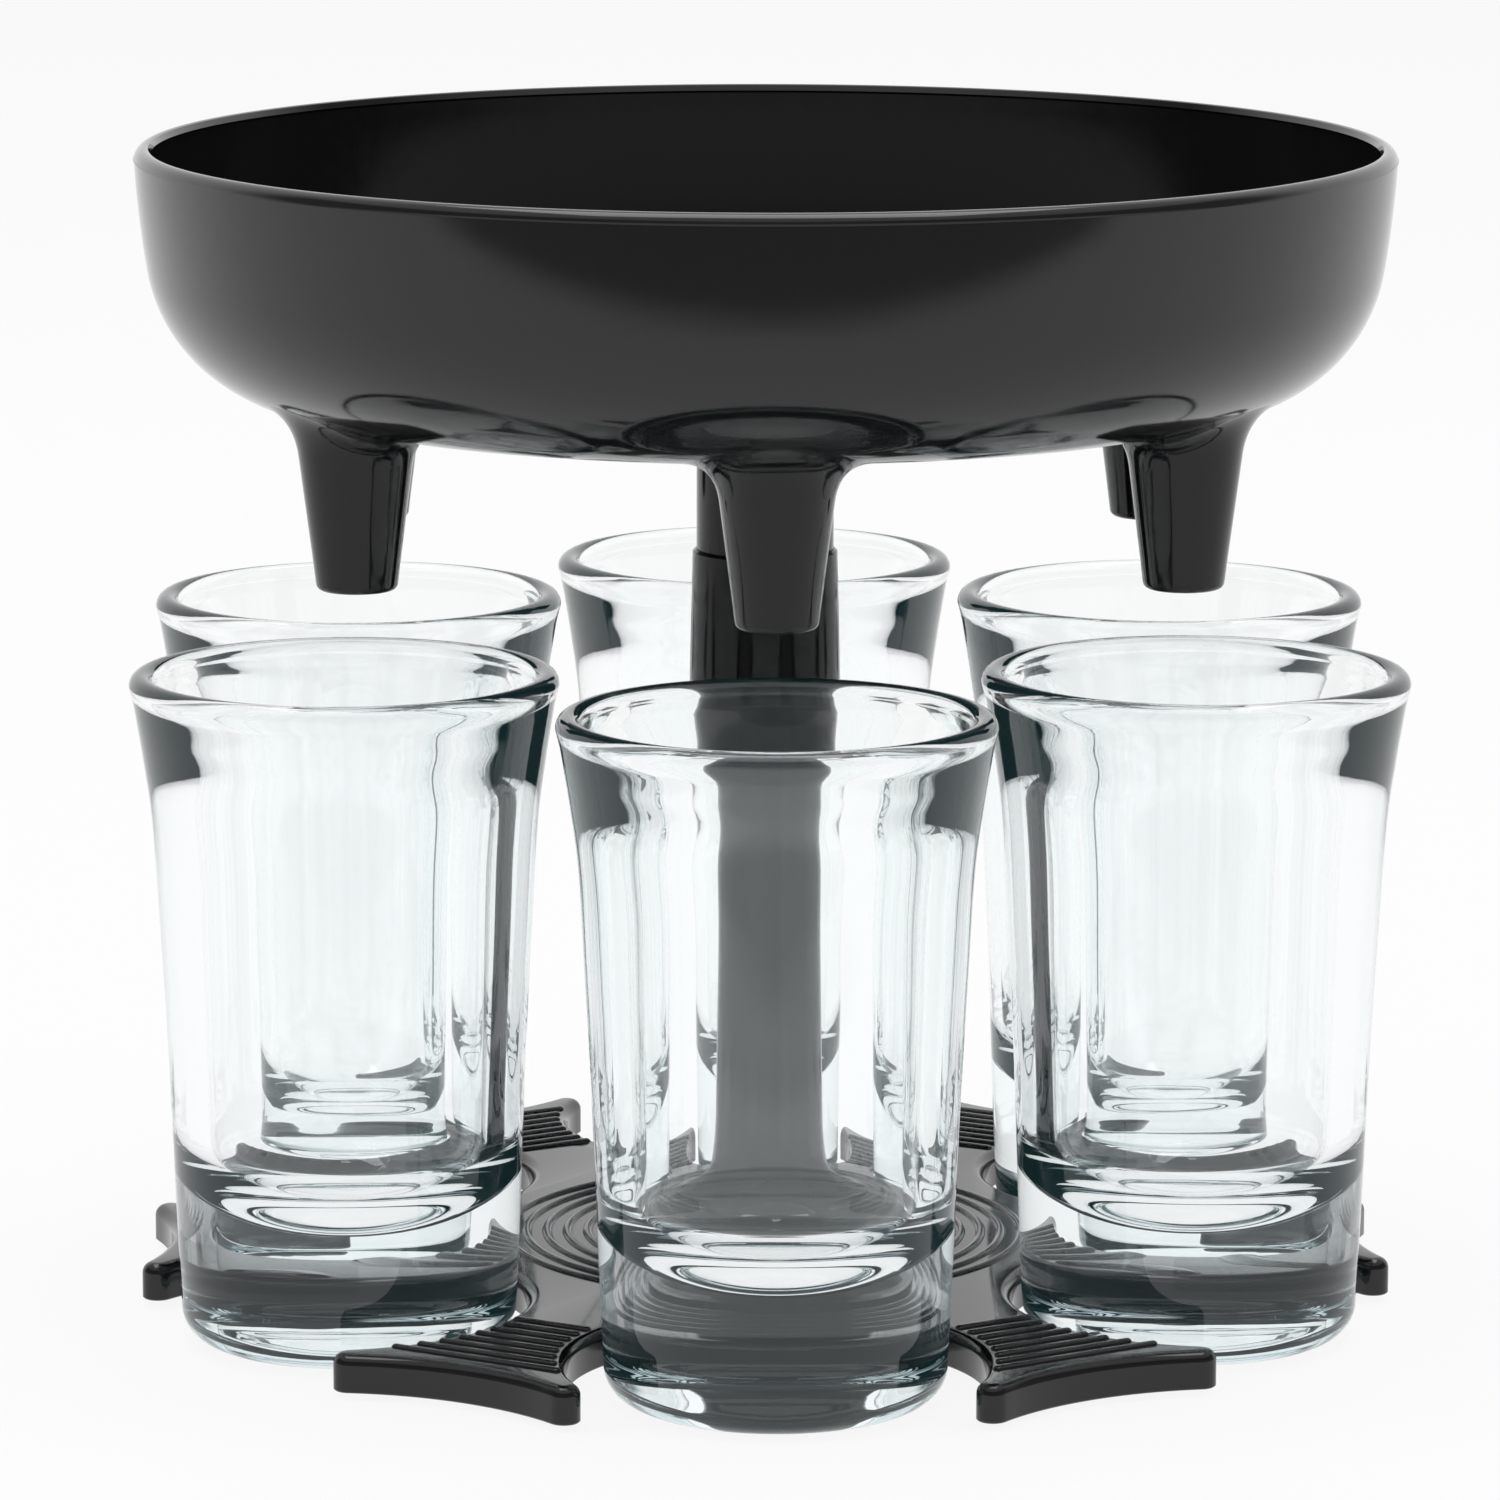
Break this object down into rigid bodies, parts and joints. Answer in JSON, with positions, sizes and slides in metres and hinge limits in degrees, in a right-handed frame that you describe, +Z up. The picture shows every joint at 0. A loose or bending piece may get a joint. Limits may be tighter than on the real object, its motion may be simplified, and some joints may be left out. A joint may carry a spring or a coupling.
{
  "type": "party shot dispenser",
  "caption": "Table-top party shot dispenser: round black bowl with spouts on a lift-out stem and column, star-shaped ribbed base, shot glasses standing between its arms.",
  "frame": {"origin": "on the column's axis, at the table under the rubber feet", "axes": "+Z up along the column; -Y front, towards the front glass; +X to the right seen from the front"},
  "size_m": [0.1348, 0.148, 0.124],
  "materials": {
    "black_plastic": "gloss",
    "clear_glass": "polished",
    "foot_rubber": "matte",
    "screw_steel": "satin"
  },
  "bodies": {
    "base": {"base_plate": "black_plastic", "base_feet": "foot_rubber", "column": "black_plastic", "column_screw": "screw_steel", "screw_washer": "screw_steel"},
    "stem_body": {"stem": "black_plastic"},
    "bowl_body": {"bowl": "black_plastic"},
    "glass_front_body": {"glass_front": "clear_glass"},
    "glass_front_right_body": {"glass_front_right": "clear_glass"},
    "glass_rear_right_body": {"glass_rear_right": "clear_glass"},
    "glass_rear_body": {"glass_rear": "clear_glass"},
    "glass_rear_left_body": {"glass_rear_left": "clear_glass"},
    "glass_front_left_body": {"glass_front_left": "clear_glass"}
  },
  "joints": [
    {"name": "stem_lift", "type": "slide", "parent": "base", "child": "stem_body", "axis": [0, 0, 1], "range_m": [0, 0.05]},
    {"name": "bowl_turn", "type": "hinge", "parent": "stem_body", "child": "bowl_body", "pos_m": [0, 0, 0.0923], "axis": [0, 0, 1], "continuous": true},
    {"name": "glass_front_out", "type": "slide", "parent": "base", "child": "glass_front_body", "axis": [0, -1, 0], "range_m": [0, 0.05]},
    {"name": "glass_front_right_out", "type": "slide", "parent": "base", "child": "glass_front_right_body", "axis": [0.866, -0.5, 0], "range_m": [0, 0.05]},
    {"name": "glass_rear_right_out", "type": "slide", "parent": "base", "child": "glass_rear_right_body", "axis": [0.866, 0.5, 0], "range_m": [0, 0.05]},
    {"name": "glass_rear_out", "type": "slide", "parent": "base", "child": "glass_rear_body", "axis": [0, 1, 0], "range_m": [0, 0.05]},
    {"name": "glass_rear_left_out", "type": "slide", "parent": "base", "child": "glass_rear_left_body", "axis": [-0.866, 0.5, 0], "range_m": [0, 0.05]},
    {"name": "glass_front_left_out", "type": "slide", "parent": "base", "child": "glass_front_left_body", "axis": [-0.866, -0.5, 0], "range_m": [0, 0.05]}
  ]
}
